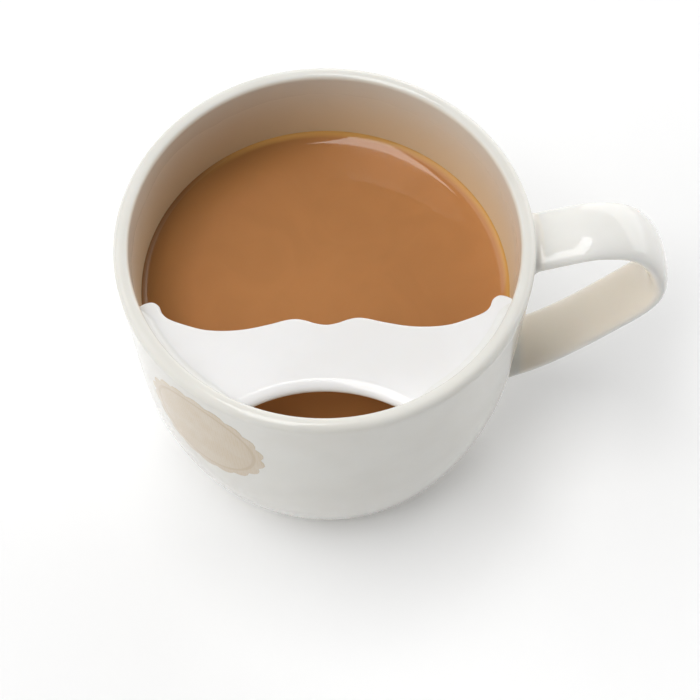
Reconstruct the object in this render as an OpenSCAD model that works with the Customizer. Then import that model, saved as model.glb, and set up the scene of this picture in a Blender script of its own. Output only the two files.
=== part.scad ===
// A porcelain moustache cup: a round-bellied teacup with a ledge across the front of its mouth.
// The ledge keeps a moustache dry, and the tea is drunk through the slot between it and the rim.
// Millimetres. The cup's axis is Z, the floor it stands on is z = 0, the drinker is at -Y and
// the handle is at +X.

/* [Cup] */
// Diameter across the outside of the rolled rim
rim_d = 95; // [88:1:104]
// Height from the foot to the top of the rim
cup_h = 78; // [72:1:86]
// Thickness of the rolled rim
rim_t = 3.5; // [2.8:0.1:4]
// Height at which the straight side turns into the belly
belly_z = 42; // [36:1:46]
// Outside diameter where the straight side meets the belly
belly_d = 92; // [88:1:94]
// Thickness of the wall at the top of the belly
wall_t = 4; // [3.2:0.1:4.8]
// Thickness of the floor
floor_t = 4.2; // [3.4:0.1:5.4]

/* [Foot ring] */
// Diameter where the foot ring grows out of the belly
foot_d = 67; // [60:1:72]
// Height of the foot ring on its outside
foot_h = 2.5; // [1.8:0.1:3.6]
// Width of the band that the cup stands on
foot_w = 2.4; // [1.6:0.1:3.2]
// Depth of the hollow under the floor
recess_h = 2; // [1.2:0.1:2.6]

/* [Moustache guard] */
// Depth of the guard's top below the rim
guard_drop = 3.8; // [3.2:0.1:6]
// Thickness of the guard
guard_t = 4.2; // [3.2:0.1:5]
// Distance from the cup's axis forward to the dip in the guard's rear edge
guard_set = 19.4; // [14:0.1:24]
// How far the guard's tips sweep back behind that dip
tip_sweep = 6.5; // [3:0.1:9]
// Rounding of the guard's rear edge
guard_edge_r = 0.8; // [0.4:0.1:1.4]
// Reach of the clay slip that joins the guard to the wall
guard_slip_r = 1.5; // [0.8:0.1:2.2]

/* [Drinking slot] */
// Width of the slot along the wall
slot_w = 36; // [28:1:46]
// Depth of the slot from the wall to its back edge
slot_depth = 9.3; // [7.8:0.1:12]
// Turn of the slot from the guard's middle towards the left, in degrees
slot_turn = 1; // [-4:0.5:4]

/* [Handle] */
// Reach of the handle's middle line out from the wall
handle_reach = 31.4; // [24:0.2:34]
// Depth of the handle's crown below the rim, at the strap's middle
handle_drop = 4.4; // [3.6:0.1:9]
// Height of the handle's lower end, at the strap's middle
handle_low_z = 17; // [14:0.5:22]
// Width of the strap
handle_w = 14.8; // [10:0.2:16]
// Thickness of the strap
handle_t = 4.8; // [4:0.1:6.4]
// Turn of the handle from square to the guard, in degrees
handle_turn = 3; // [-6:0.2:6]
// Reach of the clay slip round each end of the handle
handle_slip_r = 1.2; // [0.8:0.1:2]

/* [Tea] */
// Depth of the tea's level surface below the rim
tea_drop = 22.5; // [14:0.5:30]
// How far the tea climbs up the wall it wets
tea_climb = 1.8; // [1:0.1:2.4]

/* [Transfer print] */
// Width of the oval print
print_w = 32; // [20:1:34]
// Height of the oval print
print_h = 35; // [20:1:36]
// Depth of the print's middle below the rim
print_drop = 22; // [20:1:26]
// Turn of the print from the front towards the left, in degrees
print_turn = 38; // [0:1:60]
// Thickness of the fired colour
print_t = 0.12; // [0.08:0.01:0.3]

/* [Hidden] */
$fn = 240;

// How far a cutter runs past the face that it cuts
overrun = 1;

// Radii and heights that several pieces share
rim_r = rim_d / 2;
belly_r = belly_d / 2;
foot_r = foot_d / 2;
lip_z = cup_h - rim_t / 2;
floor_z = recess_h + floor_t;
rim_in_r = rim_r - rim_t;
belly_in_r = belly_r - wall_t;
guard_top_z = cup_h - guard_drop;
guard_low_z = guard_top_z - guard_t;
tea_z = cup_h - tea_drop;
handle_top_z = cup_h - handle_drop;
print_z = cup_h - print_drop;
quarter_turn = 90;

// Above the belly the inside is a cone, so its radius follows from the height.
function side_in(z) = belly_in_r + (rim_in_r - belly_in_r) * (z - belly_z) / (lip_z - belly_z);

// Curves. A Bezier arc has two ends and two pulls; a spline passes through its inner points.
belly_steps = 20;
lip_steps = 12;
edge_steps = 3;
spline_steps = 4;
moustache_steps = 2;
function bezier(a, b, c, d, n) = [for (i = [0:n]) let (t = i / n, s = 1 - t)
    s * s * s * a + 3 * s * s * t * b + 3 * s * t * t * c + t * t * t * d];
function spline_at(a, b, c, d, t) =
    b + (c - a) * t / 2 + (a - 2.5 * b + 2 * c - d / 2) * t * t
    + (1.5 * (b - c) + (d - a) / 2) * t * t * t;
function spline(p, n) = [for (i = [1:len(p) - 3]) for (k = [0:n - (i < len(p) - 3 ? 1 : 0)])
    spline_at(p[i - 1], p[i], p[i + 1], p[i + 2], k / n)];
function arc(centre, r, from, to, n) = [for (i = [0:n]) let (a = from + (to - from) * i / n)
    centre + r * [cos(a), sin(a)]];
function heading(p, i) = let (d = p[min(i + 1, len(p) - 1)] - p[max(i - 1, 0)]) d / norm(d);

// Skins a stack of rings, which all have the same even number of points. Each flat end is
// closed with strips from side to side, so an end may be a hollow-edged outline.
module skin(rings) {
    n = len(rings[0]);
    top = (len(rings) - 1) * n;
    walls = [for (i = [0:len(rings) - 2]) for (j = [0:n - 1])
        let (a = i * n, b = a + n, k = (j + 1) % n)
        each [[a + j, a + k, b + k], [a + j, b + k, b + j]]];
    strips = [for (j = [0:n / 2 - 2]) let (far = n - 1 - j)
        each [[j, j + 1, far - 1], [j, far - 1, far]]];
    low_end = [for (f = strips) [f[2], f[1], f[0]]];
    top_end = [for (f = strips) f + top * [1, 1, 1]];
    polyhedron([for (ring = rings) each ring], concat(walls, low_end, top_end), convexity = 6);
}

// Half section of the wall, outside then inside, from the foot ring up and down to the floor.
belly_top_pull = 17;
belly_foot_pull = 7;
belly_foot_angle = 23;
floor_pull_share = 0.62;
corner_pull_share = 0.5;
floor_r_share = 0.5;
side_lean = (rim_r - belly_r) / (lip_z - belly_z);
outer_belly = bezier([foot_r, foot_h],
    [foot_r, foot_h] + belly_foot_pull * [cos(belly_foot_angle), sin(belly_foot_angle)],
    [belly_r, belly_z] - belly_top_pull * [side_lean, 1], [belly_r, belly_z], belly_steps);
inner_lean = (rim_in_r - belly_in_r) / (lip_z - belly_z);
inner_floor_r = floor_r_share * belly_in_r;
inner_belly = bezier([belly_in_r, belly_z],
    [belly_in_r, belly_z] - floor_pull_share * (belly_z - floor_z) * [inner_lean, 1],
    [inner_floor_r + corner_pull_share * (belly_in_r - inner_floor_r), floor_z],
    [inner_floor_r, floor_z], belly_steps);
lip = arc([rim_r - rim_t / 2, lip_z], rim_t / 2, 0, 180, lip_steps);
outer_wall = concat(outer_belly, [for (p = lip) if (p.x >= rim_r - rim_t / 2) p]);

// Radius of the wall at a height, outside and inside.
outer_table = [for (p = outer_wall) [p.y, p.x]];
inner_table = [for (i = [len(inner_belly) - 1:-1:0]) [inner_belly[i].y, inner_belly[i].x],
    [lip_z, rim_in_r]];
function wall_point(z) = [lookup(z, outer_table), z];
function inside_point(z) = [lookup(z, inner_table), z];

// The foot ring's underside: a flat band with both its edges rounded.
foot_edge_r = foot_h / 3;
foot_taper_share = 0.985;
foot_out_r = foot_r * foot_taper_share - foot_edge_r;
foot_in_r = foot_out_r - foot_w;
recess_r = foot_in_r - foot_edge_r;
foot_ring = concat([[0, recess_h], [recess_r, recess_h]],
    arc([foot_in_r, foot_edge_r], foot_edge_r, 180, 270, edge_steps),
    arc([foot_out_r, foot_edge_r], foot_edge_r, -90, 0, edge_steps));

module cup_body() {
    color([0.93, 0.92, 0.9])
        rotate_extrude()
            polygon(concat(foot_ring, outer_belly, lip, inner_belly, [[0, floor_z]]));
}

// The solid that the wall's outside bounds. Handle ends are cut back to it.
module wall_outside() {
    rotate_extrude()
        polygon(concat([[0, foot_h]], outer_wall, [[0, cup_h]]));
}

// The rear edge of the guard is drawn like a moustache, from its middle out to one tip, as
// shares of the half width at the wall and of the tips' sweep.
moustache_shares = [[0, 0], [0.057, 0.06], [0.112, 0.185], [0.162, 0.246], [0.215, 0.21],
    [0.302, 0.06], [0.42, -0.1], [0.532, -0.154], [0.64, -0.1], [0.73, 0.07], [0.825, 0.32],
    [0.866, 0.54], [0.886, 0.815], [0.92, 1], [0.96, 0.92], [1, 0.77], [1.05, 0.58]];
guard_half_w = sqrt(pow(side_in(guard_top_z), 2) - pow(guard_set - tip_sweep, 2));
function moustache_point(p, side) =
    [side * p.x * guard_half_w, -guard_set + p.y * tip_sweep];
last = len(moustache_shares) - 1;
moustache_points = concat(
    [for (i = [last:-1:1]) moustache_point(moustache_shares[i], -1)],
    [for (i = [0:last]) moustache_point(moustache_shares[i], 1)]);
rear_edge = spline(moustache_points, moustache_steps);

// The guard's outline runs outside the wall at the front, where the wall then trims it.
rear_end = rear_edge[len(rear_edge) - 1];
front_from = atan2(rear_end.y, rear_end.x);
front_arc = arc([0, 0], rim_r, front_from - 1, -180 - front_from + 1, len(rear_edge) - 1);
guard_outline = concat(rear_edge, front_arc);
function inset(p, d) = [for (i = [0:len(p) - 1])
    let (h = p[(i + 1) % len(p)] - p[(i + len(p) - 1) % len(p)])
    p[i] + d * [h.y, -h.x] / norm(h)];
function guard_ring(d, z) = [for (p = inset(guard_outline, d)) [p.x, p.y, z]];
guard_rings = [
    for (i = [0:edge_steps]) let (a = quarter_turn * i / edge_steps)
        guard_ring(guard_edge_r * (1 - sin(a)), guard_low_z + guard_edge_r * (1 - cos(a))),
    for (i = [0:edge_steps]) let (a = quarter_turn * i / edge_steps)
        guard_ring(guard_edge_r * (1 - cos(a)), guard_top_z - guard_edge_r * (1 - sin(a)))];

// The slot's back edge is an arc centred in front of the cup. It meets the wall at both ends.
slot_wall_r = side_in(guard_top_z);
slot_end_y = sqrt(pow(slot_wall_r, 2) - pow(slot_w / 2, 2));
slot_rise = slot_end_y - slot_wall_r + slot_depth;
slot_r = (pow(slot_w / 2, 2) + pow(slot_rise, 2)) / (2 * slot_rise);
slot_y = slot_wall_r - slot_depth + slot_r;

// What the slot removes: straight through, and opening out over a half-round back edge.
module slot_cutter() {
    nose_r = guard_t / 2;
    cut_low = guard_low_z - guard_slip_r - overrun;
    cut_h = guard_t + 2 * (guard_slip_r + overrun);
    rotate([0, 0, -slot_turn])
        translate([0, -slot_y, 0])
            rotate_extrude()
                difference() {
                    translate([0, cut_low])
                        square([slot_r + nose_r, cut_h]);
                    translate([slot_r + nose_r, guard_low_z + nose_r])
                        circle(nose_r);
                }
}

// The inside of the wall round the guard, which trims the guard to its seat.
module guard_seat() {
    low = guard_low_z - guard_slip_r;
    high = guard_top_z + guard_slip_r;
    translate([0, 0, low])
        cylinder(h = high - low, r1 = side_in(low), r2 = side_in(high));
}

module moustache_guard() {
    color([0.95, 0.94, 0.93])
        difference() {
            intersection() {
                skin(guard_rings);
                guard_seat();
            }
            slot_cutter();
        }
}

// Half section of the slip in the corner between wall and guard: a hollow fillet that ends
// in a thin toe on each face. up is 1 above the guard and -1 below it.
slip_toe_share = 0.16;
function corner_fillet(z, up) =
    let (end_z = z + up * guard_slip_r, middle_r = side_in(end_z) - guard_slip_r)
    concat([[side_in(end_z), end_z], [side_in(z), z], [middle_r, z]],
        arc([middle_r, end_z], guard_slip_r * (1 - slip_toe_share), -quarter_turn * up, 0,
            edge_steps));

module guard_slip_joint() {
    color([0.9, 0.9, 0.88])
        difference() {
            intersection() {
                union() {
                    rotate_extrude() polygon(corner_fillet(guard_top_z, 1));
                    rotate_extrude() polygon(corner_fillet(guard_low_z, -1));
                }
                translate([0, 0, guard_low_z - guard_slip_r - overrun])
                    linear_extrude(guard_t + 2 * (guard_slip_r + overrun))
                        polygon(inset(guard_outline, guard_edge_r));
            }
            slot_cutter();
        }
}

// The handle's middle line is an ear: out under the rim, over a tight shoulder, then back
// down to the belly. Shares of the reach out from the wall, and of the height between its
// ends.
handle_shares = [[0.204, 0.972], [0.419, 1], [0.617, 0.99], [0.758, 0.95], [0.867, 0.875],
    [0.955, 0.775], [1, 0.655], [0.935, 0.53], [0.725, 0.378], [0.485, 0.212],
    [0.266, 0.088]];
upper_joint_share = 0.94;
joint_sink = wall_t * 0.75;
upper_pitch = 8;
lower_pitch = 22;
function handle_z(share) = handle_low_z + share * (handle_top_z - handle_low_z);
upper_root = wall_point(handle_z(upper_joint_share));
lower_root = wall_point(handle_low_z);
handle_points = concat(
    [for (k = [2:-1:0]) upper_root - k * joint_sink * [cos(upper_pitch), sin(upper_pitch)]],
    [for (p = handle_shares) wall_point(handle_z(p.y)) + [p.x * handle_reach, 0]],
    [for (k = [0:2]) lower_root - k * joint_sink * [cos(lower_pitch), sin(lower_pitch)]]);
handle_line = spline(handle_points, spline_steps);

// The strap's section is a flattened oval, crowned on the outside and flatter within.
section_points = 26;
crown_power = 2.2;
palm_power = 2.3;
function power_sin(a, n) = sign(sin(a)) * pow(abs(sin(a)), 2 / n);
function power_cos(a, n) = sign(cos(a)) * pow(abs(cos(a)), 2 / n);
function section(w, t) = [for (i = [0:section_points - 1])
    let (a = 360 * i / section_points, n = sin(a) > 0 ? crown_power : palm_power)
    [w / 2 * power_cos(a, n), t / 2 * power_sin(a, n)]];

// The strap spreads a little towards each end, more at the lower one.
upper_flare_share = 0.03;
lower_flare_share = 0.1;
function flare(i) = let (u = 2 * i / (len(handle_line) - 1) - 1)
    1 + (u < 0 ? upper_flare_share : lower_flare_share) * pow(abs(u), 6);
function handle_ring(i) = let (c = handle_line[i], h = heading(handle_line, i))
    [for (q = section(handle_w * flare(i), handle_t)) [c.x - h.y * q.y, -q.x, c.y + h.x * q.y]];

module strap() {
    skin([for (i = [0:len(handle_line) - 1]) handle_ring(i)]);
}

module handle() {
    color([0.93, 0.92, 0.9])
        rotate([0, 0, handle_turn])
            difference() {
                strap();
                wall_outside();
            }
}

// The slip round a handle's end is a collar of rings that lie parallel to the wall and
// hollow away along the strap. side is 1 at the upper end, where the strap leaves the wall,
// and -1 at the lower end, where it returns.
slip_rings = 5;
wall_step = 0.5 * joint_sink;
function wall_normal(z) = let (d = wall_point(z + wall_step) - wall_point(z - wall_step))
    [d.y, -d.x] / norm(d);
function slip_grow(u) =
    handle_slip_r * (1 - (1 - slip_toe_share) * sqrt(1 - pow(1 - u, 2)));
function slip_ring(i, side, rise, grow) =
    let (root = handle_line[i], h = side * heading(handle_line, i), n = wall_normal(root.y))
    [for (q = section(handle_w * flare(i) + 2 * grow, handle_t + 2 * grow))
        let (off = side * q.y * [-h.y, h.x], c = root + off + (rise - off * n) / (h * n) * h)
        [c.x, -side * q.x, c.y]];

module handle_slip(i, side) {
    difference() {
        skin(concat([slip_ring(i, side, -joint_sink, handle_slip_r)],
            [for (k = [0:slip_rings])
                slip_ring(i, side, handle_slip_r * k / slip_rings, slip_grow(k / slip_rings))]));
        strap();
        wall_outside();
    }
}

module handle_upper_slip_joint() {
    color([0.9, 0.9, 0.88])
        rotate([0, 0, handle_turn])
            handle_slip(spline_steps, 1);
}

module handle_lower_slip_joint() {
    color([0.9, 0.9, 0.88])
        rotate([0, 0, handle_turn])
            handle_slip(len(handle_line) - 1 - spline_steps, -1);
}

// The print is a scalloped oval, laid on the wall as a thin skin.
scallops = 18;
scallop_share = 0.05;
scallop_steps = 4;
print_outline = [for (i = [0:scallops * scallop_steps - 1])
    let (a = 360 * i / (scallops * scallop_steps),
        r = 1 - scallop_share * (1 - abs(sin(scallops * a / 2))))
    [print_w / 2 * r * cos(a), print_h / 2 * r * sin(a)]];

module transfer_print() {
    color([0.82, 0.75, 0.68])
        intersection() {
            rotate_extrude()
                polygon(concat(outer_belly, [[rim_r, lip_z], [rim_r + print_t, lip_z]],
                    [for (i = [len(outer_belly) - 1:-1:0]) outer_belly[i] + [print_t, 0]]));
            rotate([quarter_turn, 0, -print_turn])
                linear_extrude(rim_d)
                    translate([0, print_z])
                        polygon(print_outline);
        }
}

// The tea fills the cup to its level and takes the shape of the inside. Its surface climbs the
// wall in a hollow curve, which falls away over a few times its own height.
climb_reach_share = 2.2;
climb_steps = 4;
climb_edge = inside_point(tea_z + tea_climb);
tea_surface = bezier([climb_edge.x - climb_reach_share * tea_climb, tea_z],
    [climb_edge.x - tea_climb, tea_z], climb_edge - [tea_climb / 3, tea_climb / 2], climb_edge,
    climb_steps);
module tea() {
    color([0.69, 0.48, 0.3])
        rotate_extrude()
            polygon(concat([[0, tea_z]], tea_surface, inner_belly, [[0, floor_z]]));
}

cup_body();
handle();
moustache_guard();
handle_upper_slip_joint();
handle_lower_slip_joint();
guard_slip_joint();
transfer_print();
tea();
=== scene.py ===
# %% [markdown]
# # A moustache cup
#
# The cup is a round-bellied porcelain teacup. A ledge across the front of its mouth keeps a
# moustache dry, and the tea is drunk through a slot between the ledge and the rim. The packed
# model fixes every size and place. This lesson builds the surfaces that the eye sees around
# it: the turned body, the swept handle, the guard, the soft joints of slip between them, the
# tea, and the glaze over all of it. Lengths are in metres, and Z points up.

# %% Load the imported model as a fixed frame
from math import asin, atan2, cos, degrees, hypot, log, pi, radians, sin, sqrt, tan, tau

import bmesh
import bpy
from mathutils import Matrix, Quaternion, Vector


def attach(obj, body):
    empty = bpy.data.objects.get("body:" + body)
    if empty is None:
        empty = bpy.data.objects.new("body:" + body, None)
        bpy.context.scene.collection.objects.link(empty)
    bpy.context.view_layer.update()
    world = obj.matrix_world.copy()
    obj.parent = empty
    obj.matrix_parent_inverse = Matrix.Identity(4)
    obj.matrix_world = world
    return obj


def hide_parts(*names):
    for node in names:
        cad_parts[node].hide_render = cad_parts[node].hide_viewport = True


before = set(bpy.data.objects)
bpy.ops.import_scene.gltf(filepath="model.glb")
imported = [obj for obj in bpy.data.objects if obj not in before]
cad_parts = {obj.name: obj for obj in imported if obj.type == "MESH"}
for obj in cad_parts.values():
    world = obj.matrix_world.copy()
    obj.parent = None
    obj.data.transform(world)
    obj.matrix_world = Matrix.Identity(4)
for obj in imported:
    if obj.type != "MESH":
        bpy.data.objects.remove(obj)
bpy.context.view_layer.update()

print("pieces in the frame:", ", ".join(sorted(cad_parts)))

# %% [markdown]
# ## A few helpers
#
# An operator acts on whatever is selected, so each step first deselects everything and picks
# its own piece. `choose` picks corners, edges or faces by where they are, which is what a
# hand does with the mouse. The other helpers are steps that every piece goes through.

# %% Choosing what an operator acts on
mm = 0.001
up = Vector((0, 0, 1))


def only(piece):
    """Selects one piece alone and makes it the active one."""
    if bpy.context.object and bpy.context.object.mode != "OBJECT":
        bpy.ops.object.mode_set(mode="OBJECT")
    bpy.ops.object.select_all(action="DESELECT")
    piece.select_set(True)
    bpy.context.view_layer.objects.active = piece
    return piece


def choose(piece, kind, wanted):
    """In edit mode, selects the corners, edges or faces that wanted() says yes to."""
    if bpy.context.mode != "EDIT_MESH":
        only(piece)
        bpy.ops.object.mode_set(mode="EDIT")
    bpy.ops.mesh.select_mode(type=kind)
    bpy.ops.mesh.select_all(action="DESELECT")
    shape = bmesh.from_edit_mesh(piece.data)
    parts = {"VERT": shape.verts, "EDGE": shape.edges, "FACE": shape.faces}[kind]
    found = [part for part in parts if wanted(part)]
    for part in found:
        part.select_set(True)
    shape.select_flush_mode()
    bmesh.update_edit_mesh(piece.data)
    return len(found)


def middle(edge):
    """The middle of an edge."""
    return (edge.verts[0].co + edge.verts[1].co) / 2


print(f"Z points up, and a millimetre is {mm} of Blender's metres")

# %% Steps that every piece goes through
touching = 1e-6
smooth_below = radians(38)


def edit_all(piece):
    """Enters edit mode with everything selected."""
    only(piece)
    bpy.ops.object.mode_set(mode="EDIT")
    bpy.ops.mesh.select_all(action="SELECT")


def merge_touching():
    """Makes one corner of the corners that touch."""
    bpy.ops.mesh.select_all(action="SELECT")
    bpy.ops.mesh.remove_doubles(threshold=touching)


def faces_out():
    """Turns all faces outwards, and leaves edit mode."""
    bpy.ops.mesh.select_all(action="SELECT")
    bpy.ops.mesh.normals_make_consistent(inside=False)
    bpy.ops.object.mode_set(mode="OBJECT")


def apply_place(piece):
    """Puts a piece's place and turn into its mesh, and its object back at the origin."""
    only(piece)
    bpy.ops.object.transform_apply(location=True, rotation=True, scale=True)


def finish_piece(piece, name, *nodes, slot="white_glaze"):
    """Smooths a finished piece, names it, and lets it stand for its nodes of the frame."""
    only(piece)
    bpy.ops.object.shade_smooth_by_angle(angle=smooth_below)
    piece.name = piece.data.name = name
    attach(piece, "root")
    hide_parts(*nodes)
    print(f"{name}: {len(piece.data.polygons)} faces, stands for {', '.join(nodes)}")


print(f"corners closer than {touching / mm:.3f} mm count as touching")

# %% [markdown]
# ## Drawing lines
#
# A potter's profile is a run of straights and easy curves. In Blender that is a Bezier curve:
# each knot has a handle before it and one after it. Here the run is written as segments, each
# with two ends and two pulls, and the curve is then turned into a plain line of edges that
# the mesh operators can spin and extrude.

# %% Bezier segments: straights, arcs and smooth runs
def straight(a, b):
    """A straight segment, its pulls a third of the way in."""
    return [a, a.lerp(b, 1 / 3), a.lerp(b, 2 / 3), b]


def curved(a, pull_a, pull_b, b):
    """A segment from a to b that leaves towards pull_a and arrives from pull_b."""
    return [a, pull_a, pull_b, b]


def rounded(centre, radius, start, end, u=Vector((1, 0, 0)), v=up):
    """An arc of at most a quarter turn, from start to end in degrees, in the plane of u, v."""
    start, end = radians(start), radians(end)
    pull = 4 / 3 * tan((end - start) / 4)
    (ax, ay), (bx, by) = (cos(start), sin(start)), (cos(end), sin(end))
    spots = [(ax, ay), (ax - pull * ay, ay + pull * ax), (bx + pull * by, by - pull * bx), (bx, by)]
    return [centre + radius * (u * x + v * y) for x, y in spots]


def arc(centre, radius, start, end, count, **axes):
    """A longer arc, as a run of count equal ones."""
    cuts = [start + (end - start) * i / count for i in range(count + 1)]
    return [rounded(centre, radius, a, b, **axes) for a, b in zip(cuts, cuts[1:])]


def through(points):
    """A smooth run through the inner points. The first and last only steer it."""
    return [curved(b, b + (c - a) / 6, c - (d - b) / 6, c)
        for a, b, c, d in zip(points, points[1:], points[2:], points[3:])]


def along(segment, t):
    """The point of a segment at a share t of its run."""
    a, pull_a, pull_b, b = segment
    s = 1 - t
    return s ** 3 * a + 3 * s ** 2 * t * pull_a + 3 * s * t ** 2 * pull_b + t ** 3 * b


quarter = rounded(Vector(), 1, 0, 90)
print(f"the middle of a drawn quarter circle is {along(quarter, 0.5).length:.4f} from its centre")


# %% Draw segments as a curve, and turn it into edges
def draw(segments, steps, closed=False):
    """Draws the segments as one Bezier curve and turns it into a mesh of edges."""
    bpy.ops.curve.primitive_bezier_curve_add(location=(0, 0, 0))
    line = only(bpy.context.object)
    line.data.dimensions = "3D"
    line.data.resolution_u = steps
    spline = line.data.splines[0]
    knots = len(segments) if closed else len(segments) + 1
    spline.bezier_points.add(knots - len(spline.bezier_points))
    spline.use_cyclic_u = closed
    for i, knot in enumerate(spline.bezier_points):
        knot.handle_left_type = knot.handle_right_type = "FREE"
        starts, ends = i < len(segments), i > 0 or closed
        knot.co = segments[i][0] if starts else segments[-1][3]
        knot.handle_left = segments[i - 1][2] if ends else knot.co
        knot.handle_right = segments[i][1] if starts else knot.co
    bpy.ops.object.convert(target="MESH")
    return bpy.context.object


fine = 12
print(f"a fine line has {fine} edges to each segment")

# %% [markdown]
# ## The turned body
#
# A porcelain cup is thrown or jiggered on a wheel, so half its section says everything. The
# section runs from the hollow under the foot, round the foot ring that the cup stands on, up
# the belly, over the rolled rim, down the inside and across the floor. A Spin of that line
# gives the body. A solid cylinder cut and bevelled would need far more steps for the belly.

# %% Sizes of the body
rim_r, rim_t, lip_z = 47.5 * mm, 3.5 * mm, 76.25 * mm
belly_r, belly_z, wall_t = 46 * mm, 42 * mm, 4 * mm
foot_r, foot_h, foot_w, foot_edge_r = 33.5 * mm, 2.5 * mm, 2.4 * mm, 0.83 * mm
recess_h, floor_z = 2 * mm, 6.2 * mm
lip_low = 76.7 * mm
rim_in_r, belly_in_r = rim_r - rim_t, belly_r - wall_t
wheel_steps = 192


def at(r, z):
    """A point of the half section: its distance from the axis, and its height."""
    return Vector((r, 0, z))


def leaning(angle):
    """A way in the half section, at an angle up from the level."""
    return at(cos(radians(angle)), sin(radians(angle)))


def inside_r(z):
    """Radius of the straight inside above the belly."""
    return belly_in_r + (rim_in_r - belly_in_r) * (z - belly_z) / (lip_z - belly_z)


print(f"rim {2 * rim_r / mm:.0f} mm across, inside {2 * rim_in_r / mm:.0f} mm")

# %% The half section of the body
foot_taper, foot_angle, foot_pull = 0.985, 23, 7 * mm
belly_pull, inner_belly_pull = 17 * mm, 22.2 * mm
lip_top_pull, lip_in_pull = 1.2 * mm, 0.95 * mm
foot_out = at(foot_r * foot_taper - foot_edge_r, foot_edge_r)
foot_in = foot_out - at(foot_w, 0)
recess_edge, foot_top = at(foot_in.x - foot_edge_r, recess_h), at(foot_r, foot_h)
belly_top, inner_belly_top = at(belly_r, belly_z), at(belly_in_r, belly_z)
side = at(rim_r - belly_r, lip_z - belly_z).normalized()
side_in = at(rim_in_r - belly_in_r, lip_z - belly_z).normalized()
lip_middle = at(rim_r - rim_t / 2, lip_z)
lip_top, lip_in = lip_middle + at(0, rim_t / 2), at(inside_r(lip_low), lip_low)
inner_floor = at(belly_in_r / 2, floor_z)
inner_belly = curved(inner_belly_top, inner_belly_top - inner_belly_pull * side_in,
    at(belly_in_r * 3 / 4, floor_z), inner_floor)
outer_belly = curved(foot_top, foot_top + foot_pull * leaning(foot_angle),
    belly_top - belly_pull * side, belly_top)
outer_side = straight(belly_top, at(rim_r, lip_z))
half_section = [
    straight(at(0, recess_h), recess_edge),
    straight(recess_edge, foot_in - at(foot_edge_r, 0)),
    rounded(foot_in, foot_edge_r, 180, 270),
    straight(foot_in - at(0, foot_edge_r), foot_out - at(0, foot_edge_r)),
    rounded(foot_out, foot_edge_r, -90, 0),
    straight(foot_out + at(foot_edge_r, 0), foot_top),
    outer_belly,
    outer_side,
    rounded(lip_middle, rim_t / 2, 0, 90),
    curved(lip_top, lip_top - at(lip_top_pull, 0), lip_in + lip_in_pull * side_in, lip_in),
    straight(lip_in, inner_belly_top),
    inner_belly,
    straight(inner_floor, at(0, floor_z))]
print(f"half section: {len(half_section)} segments, up to {lip_top.z / mm:.0f} mm")


# %% Spin the half section round the axis
def spin(line, turn=tau, steps=wheel_steps, closed=True):
    """Spins a line of edges anticlockwise round the cup's axis, and closes the skin it leaves."""
    edit_all(line)
    bpy.ops.mesh.spin(steps=steps, angle=turn, center=(0, 0, 0), axis=-up)
    merge_touching()
    if closed:
        bpy.ops.mesh.fill_holes(sides=0)
    faces_out()
    return line


cup = spin(draw(half_section, fine))
finish_piece(cup, "turned_body", "cup_body")

# %% [markdown]
# ## The handle
#
# The handle is a flat strap of clay, pulled or cast, and bent like an ear. Its section is
# crowned on the outside and flatter where the fingers lie. The section is drawn once, and then
# extruded along the ear step by step: each step moves the ring, turns it and widens it a
# little near the ends. It stops a few steps short of the wall, where the joints take over. A
# curve with a bevel would do too, but could not widen one way only.

# %% The ear's line
handle_low, handle_top = 17 * mm, 73.6 * mm
handle_reach, handle_w, handle_t, handle_turn = 31.4 * mm, 14.8 * mm, 4.8 * mm, 3
ear_shares = [(0.204, 0.972), (0.419, 1), (0.617, 0.99), (0.758, 0.95), (0.867, 0.875),
    (0.955, 0.775), (1, 0.655), (0.935, 0.53), (0.725, 0.378), (0.485, 0.212), (0.266, 0.088)]
upper_share, upper_angle, lower_angle, lead = 0.94, 8, 22, 3 * mm
ear_steps = 6
far_out = 100 * mm


def wall_point(z):
    """The point of the body's outside at a height, on the handle's side."""
    return cup.ray_cast(at(far_out, z), Vector((-1, 0, 0)))[1]


def ear_height(share):
    """The height at a share of the way up between the handle's ends."""
    return handle_low + share * (handle_top - handle_low)


upper_root, lower_root = wall_point(ear_height(upper_share)), wall_point(handle_low)
ear_points = [upper_root - lead * leaning(upper_angle), upper_root,
    *[wall_point(ear_height(p)) + at(q * handle_reach, 0) for q, p in ear_shares],
    lower_root, lower_root - lead * leaning(lower_angle)]
ear = [along(segment, i / ear_steps) for segment in through(ear_points) for i in range(ear_steps)]
ear.append(lower_root)
ways = [(b - a).normalized() for a, b in zip([ear[0], *ear], [*ear[1:], ear[-1]])]
ear_length = sum((b - a).length for a, b in zip(ear, ear[1:]))
print(f"the ear's line: {len(ear)} points, {ear_length / mm:.0f} mm")

# %% Draw the strap's section and extrude it along the ear
crown_pull, palm_pull = 0.613, 0.64
flare_top, flare_low, flare_power = 0.03, 0.1, 6
short_of_top, short_of_low = 3, 5
first, last = short_of_top, len(ear) - 1 - short_of_low


def spread(i):
    """How much wider the strap is at a step, towards its ends."""
    share = 2 * i / (len(ear) - 1) - 1
    return 1 + (flare_low if share > 0 else flare_top) * abs(share) ** flare_power


def section(centre, way, w, t):
    """The strap's section, square to its way: an oval of four segments."""
    across, out = Vector((0, -w / 2, 0)), Vector((-way.z, 0, way.x)) * t / 2
    corners = [(across, out, crown_pull), (out, -across, crown_pull),
        (-across, -out, palm_pull), (-out, across, palm_pull)]
    return [curved(centre + a, centre + a + pull * b, centre + b + pull * a, centre + b)
        for a, b, pull in corners]


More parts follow.
